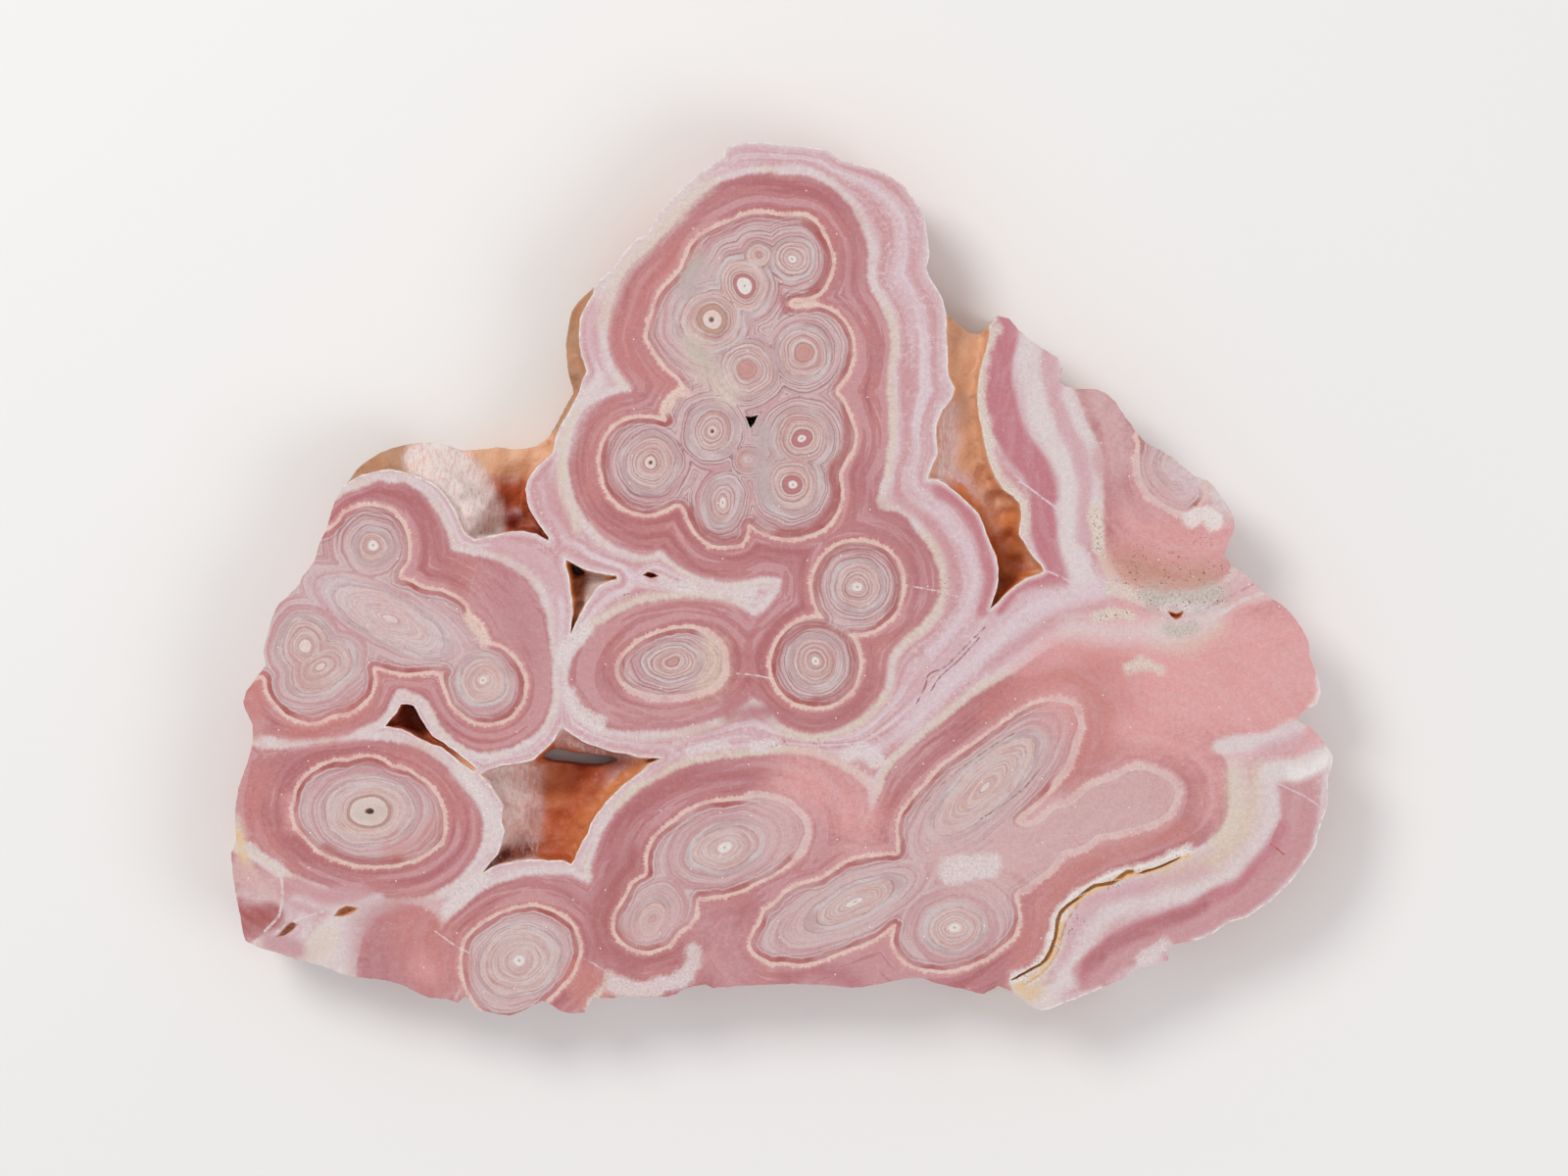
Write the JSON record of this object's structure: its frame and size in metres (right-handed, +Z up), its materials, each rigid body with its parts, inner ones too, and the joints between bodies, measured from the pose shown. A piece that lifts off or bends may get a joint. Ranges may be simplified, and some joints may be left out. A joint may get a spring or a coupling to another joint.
{
  "type": "rhodochrosite slice",
  "caption": "Polished slab sawn across grown-together rhodochrosite stalactites, with pink and white growth bands, sunk pockets of natural skin and a knobbly rim.",
  "frame": {"origin": "under the middle of the slice's box, on the sawn back that it rests on", "axes": "+X along the slice's length, +Y across it towards the tall lobe, +Z up out of the polished face"},
  "size_m": [0.15, 0.119, 0.012],
  "materials": {
    "banded_stone": "polished banded pink and white stone, with matt orange-tan natural skin in the pockets"
  },
  "bodies": {
    "root": {"rhodochrosite_slice": "banded_stone"}
  },
  "joints": []
}
